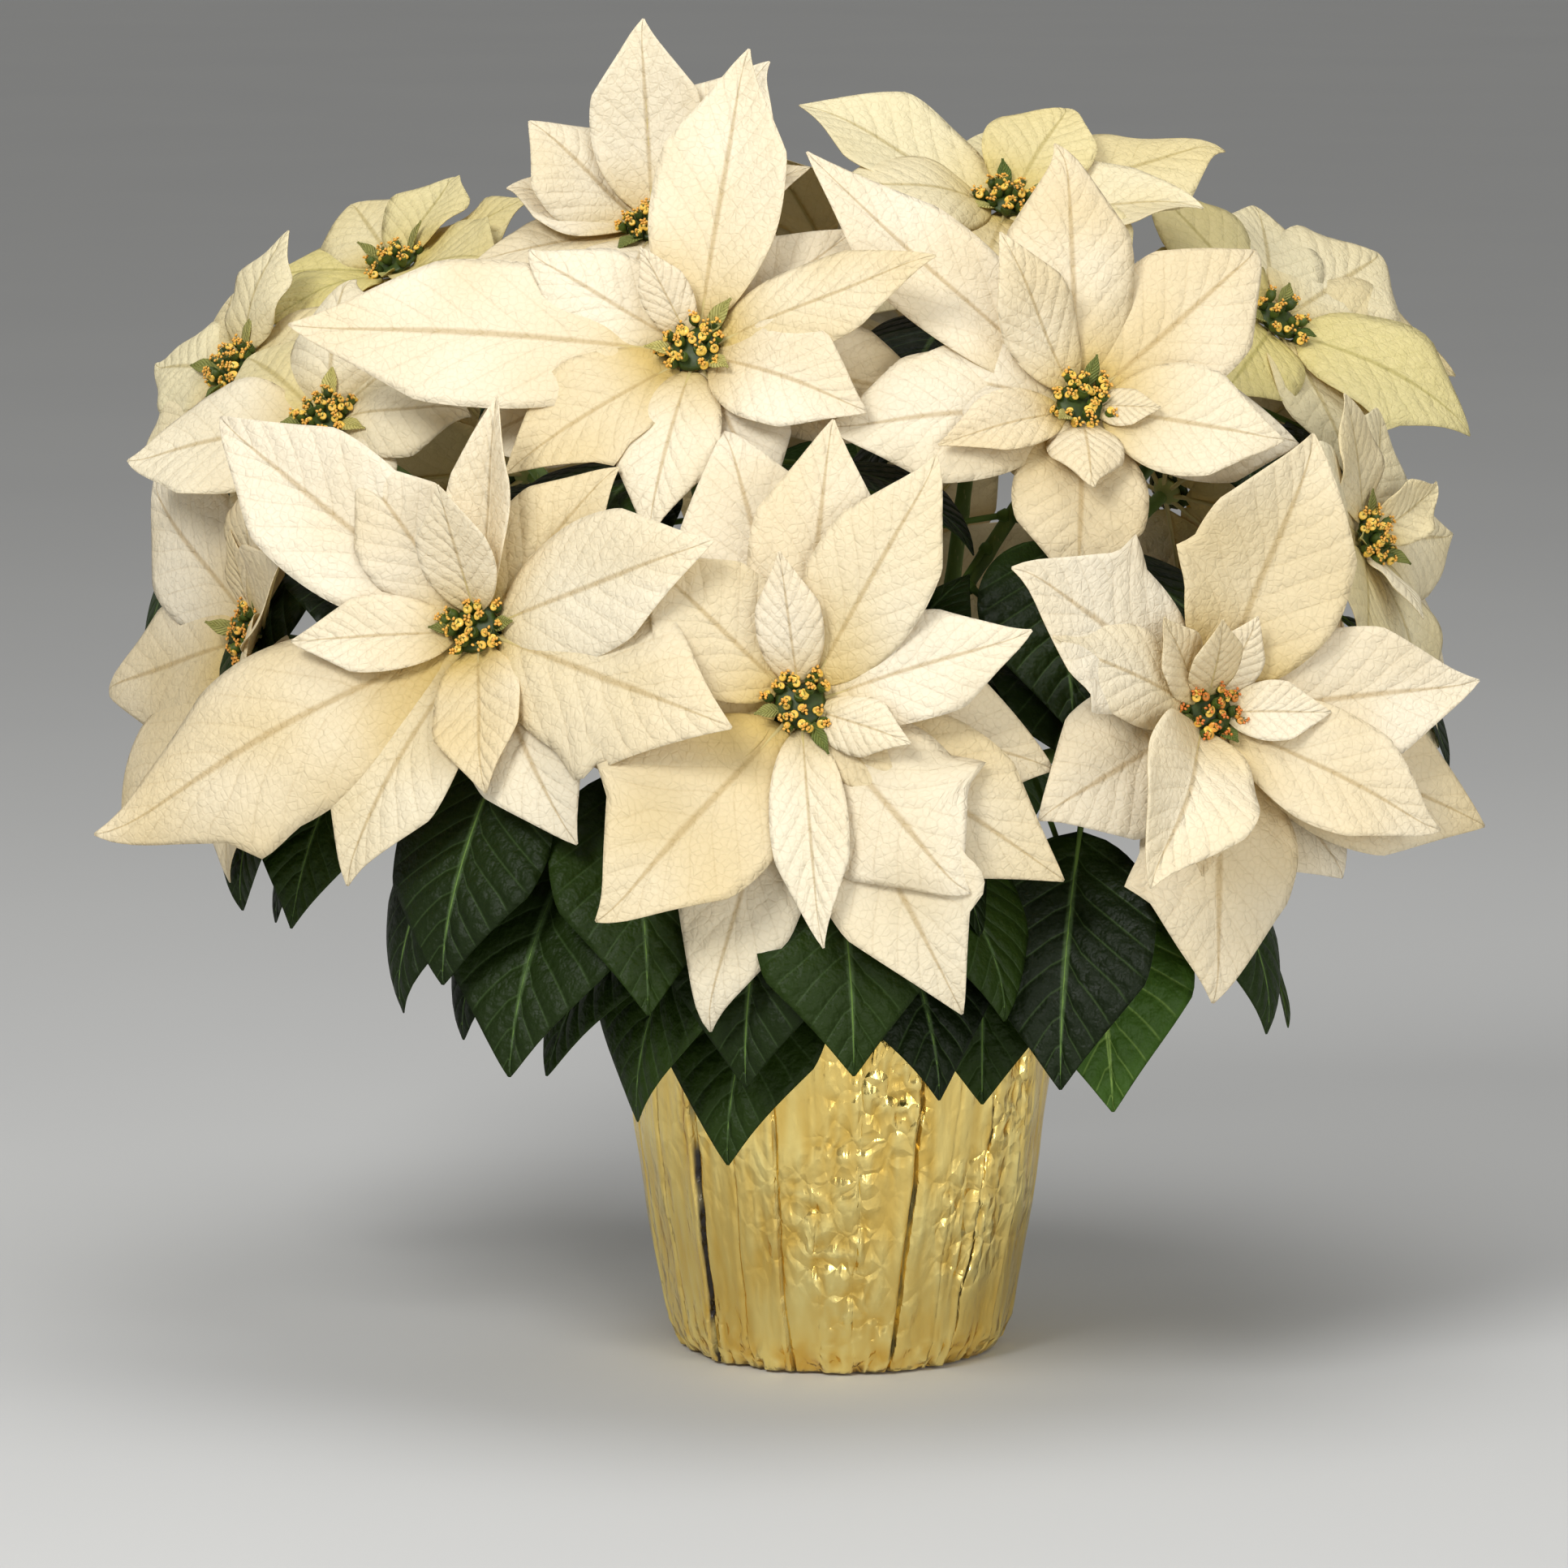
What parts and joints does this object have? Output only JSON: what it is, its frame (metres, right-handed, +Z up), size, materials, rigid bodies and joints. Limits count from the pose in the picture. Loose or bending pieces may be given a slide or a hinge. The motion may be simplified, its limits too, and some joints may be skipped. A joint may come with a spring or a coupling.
{
  "type": "poinsettia in a foil-wrapped pot",
  "caption": "Bushy cream-white poinsettia house plant with dark green leaves, growing in a nursery pot dressed in pleated gold foil.",
  "frame": {"origin": "centre of the pot's foot, on the surface that it stands on", "axes": "+Z up along the pot's axis; +X to the right of the plant's front, its widest direction; the front faces -Y"},
  "size_m": [0.557, 0.4558, 0.5221],
  "materials": {
    "foil": "metallised gold film, crinkled, satin to bright",
    "nursery_plastic": "plain moulded terracotta-brown plastic",
    "potting_mix": "damp, crumbly peat and bark",
    "stem": "green stem, woody brown towards the foot",
    "bract": "soft cream, matt, with slightly raised tan veins",
    "leaf": "dark green, satin, with paler veins",
    "cyathium": "small green cups with yellow to orange glands"
  },
  "bodies": {
    "root": {"foil_cover": "foil", "grow_pot": "nursery_plastic", "potting_mix": "potting_mix", "stem_front": "stem", "stem_left": "stem", "stem_right": "stem", "bracts_front_centre": "bract", "leaves_front_centre": "leaf", "cyathia_front_centre": "cyathium", "bracts_front_left": "bract", "leaves_front_left": "leaf", "cyathia_front_left": "cyathium", "bracts_front_right": "bract", "leaves_front_right": "leaf", "cyathia_front_right": "cyathium", "bracts_upper_left": "bract", "leaves_upper_left": "leaf", "cyathia_upper_left": "cyathium", "bracts_upper_right": "bract", "leaves_upper_right": "leaf", "cyathia_upper_right": "cyathium", "bracts_side_left": "bract", "leaves_side_left": "leaf", "cyathia_side_left": "cyathium", "bracts_side_right": "bract", "leaves_side_right": "leaf", "cyathia_side_right": "cyathium", "bracts_curled_left": "bract", "leaves_curled_left": "leaf", "cyathia_curled_left": "cyathium", "bracts_far_left": "bract", "leaves_far_left": "leaf", "cyathia_far_left": "cyathium", "bracts_back_left": "bract", "leaves_back_left": "leaf", "cyathia_back_left": "cyathium", "bracts_top_left": "bract", "leaves_top_left": "leaf", "cyathia_top_left": "cyathium", "bracts_top_right": "bract", "leaves_top_right": "leaf", "cyathia_top_right": "cyathium", "bracts_back_right": "bract", "leaves_back_right": "leaf", "cyathia_back_right": "cyathium", "bracts_rear_top": "bract", "leaves_rear_top": "leaf", "cyathia_rear_top": "cyathium", "bracts_rear_left": "bract", "leaves_rear_left": "leaf", "cyathia_rear_left": "cyathium", "bracts_rear_right": "bract", "leaves_rear_right": "leaf", "cyathia_rear_right": "cyathium", "bracts_rear_centre": "bract", "leaves_rear_centre": "leaf", "cyathia_rear_centre": "cyathium"}
  },
  "joints": []
}
